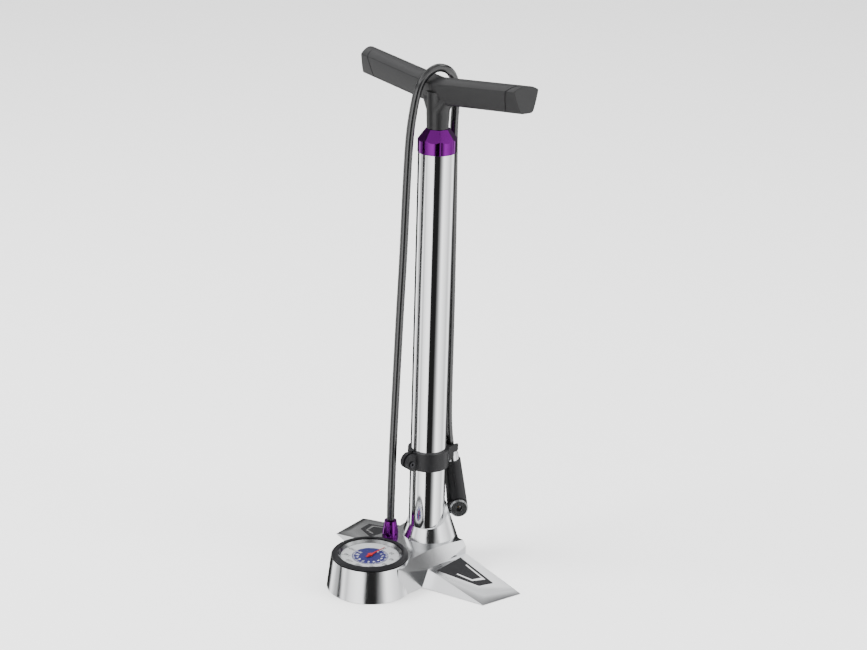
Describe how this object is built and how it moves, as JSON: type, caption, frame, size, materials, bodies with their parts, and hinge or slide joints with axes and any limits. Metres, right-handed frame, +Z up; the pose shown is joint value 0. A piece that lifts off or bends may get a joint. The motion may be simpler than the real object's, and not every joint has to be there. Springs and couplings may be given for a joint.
{
  "type": "floor bike pump",
  "caption": "Tall floor pump: cast base with a dial gauge and two foot rests, polished barrel, T handle on a piston rod, and a hose looped over the handle to a parked screw-on head.",
  "frame": {"origin": "on the barrel's axis at floor level, on the underside of the centre floor pad", "axes": "+Z up along the barrel, +X towards the right foot, -Y towards the gauge and +Y towards the side where the user's shins are"},
  "size_m": [0.2912, 0.2149, 0.6565],
  "materials": {
    "cast_aluminium": "polished",
    "barrel_aluminium": "polished",
    "anodised_purple": "anodised, bright",
    "black_plastic": "matte",
    "tread_rubber": "matte",
    "seal_rubber": "smooth",
    "hose_rubber": "satin",
    "chrome_trim": "polished",
    "steel": "satin",
    "brass": "machined",
    "valve_rubber": "smooth",
    "bush_nylon": "matte",
    "piston_plastic": "matte",
    "dial_face": "printed",
    "needle_red": "satin",
    "clear_plastic": "clear",
    "head_aluminium": "machined"
  },
  "bodies": {
    "base": {"base_casting": "cast_aluminium", "tread_pad_left": "tread_rubber", "tread_pad_right": "tread_rubber", "tread_inlay_left": "chrome_trim", "tread_inlay_right": "chrome_trim", "floor_pad_centre": "tread_rubber", "floor_pad_front": "tread_rubber", "floor_pad_left": "tread_rubber", "floor_pad_right": "tread_rubber", "barrel": "barrel_aluminium", "barrel_o_ring": "seal_rubber", "barrel_screws": "steel", "valve_seat": "brass", "valve_spring": "steel", "valve_cage": "brass", "top_cap": "anodised_purple", "rod_bush": "bush_nylon", "rod_wiper": "seal_rubber", "gauge_case": "steel", "gauge_socket": "brass", "bourdon_tube": "brass", "gauge_movement": "brass", "gauge_dial": "dial_face", "gauge_bevel": "chrome_trim", "gauge_lens": "clear_plastic", "gauge_ring": "tread_rubber", "hose_barb": "brass", "hose_collet": "anodised_purple", "hose": "hose_rubber", "hose_clip": "black_plastic", "clip_screw": "steel", "clip_nut": "steel", "head_ferrule": "chrome_trim", "head_body": "head_aluminium", "head_sleeve": "hose_rubber", "chuck_washer": "seal_rubber", "valve_pin": "brass"},
    "seal": {"piston_o_ring": "seal_rubber"},
    "rod": {"piston": "piston_plastic", "piston_bolt": "steel", "piston_rod": "steel", "rod_bumper": "seal_rubber", "handle_grip": "black_plastic", "handle_insert": "brass", "end_cap_left": "black_plastic", "end_cap_right": "black_plastic"},
    "needle": {"gauge_needle": "needle_red", "gauge_spindle": "brass"},
    "sector": {"gauge_sector": "brass"},
    "ball": {"valve_ball": "valve_rubber"},
    "chuck": {"chuck_ring": "chrome_trim"}
  },
  "joints": [
    {"name": "pump_stroke", "type": "slide", "parent": "base", "child": "seal", "axis": [0, 0, 1], "range_m": [0, 0.46], "deforming": ["hose"]},
    {"name": "handle_turn", "type": "hinge", "parent": "seal", "child": "rod", "pos_m": [0, 0, 0], "axis": [0, 0, 1], "range_deg": [-25, 25]},
    {"name": "sector_turn", "type": "hinge", "parent": "base", "child": "sector", "pos_m": [0.016, -0.1049, 0.03], "axis": [0, 0, 1], "range_deg": [0, 36], "stiffness_Nm_per_rad": 0.001},
    {"name": "needle_turn", "type": "hinge", "parent": "base", "child": "needle", "pos_m": [0, -0.0989, 0.0414], "axis": [0, 0, -1], "range_deg": [0, 270]},
    {"name": "check_lift", "type": "slide", "parent": "base", "child": "ball", "axis": [0, 0, -1], "range_m": [0, 0.002], "stiffness_N_per_m": 50, "springref_m": -0.001, "deforming": ["valve_spring"]},
    {"name": "chuck_turn", "type": "hinge", "parent": "base", "child": "chuck", "pos_m": [0.0085, 0.04752, 0.07077], "axis": [0.7986, -0.6018, 0], "continuous": true}
  ],
  "couplings": [
    {"joint": "needle_turn", "follows": "sector_turn", "ratio": 7.5}
  ]
}
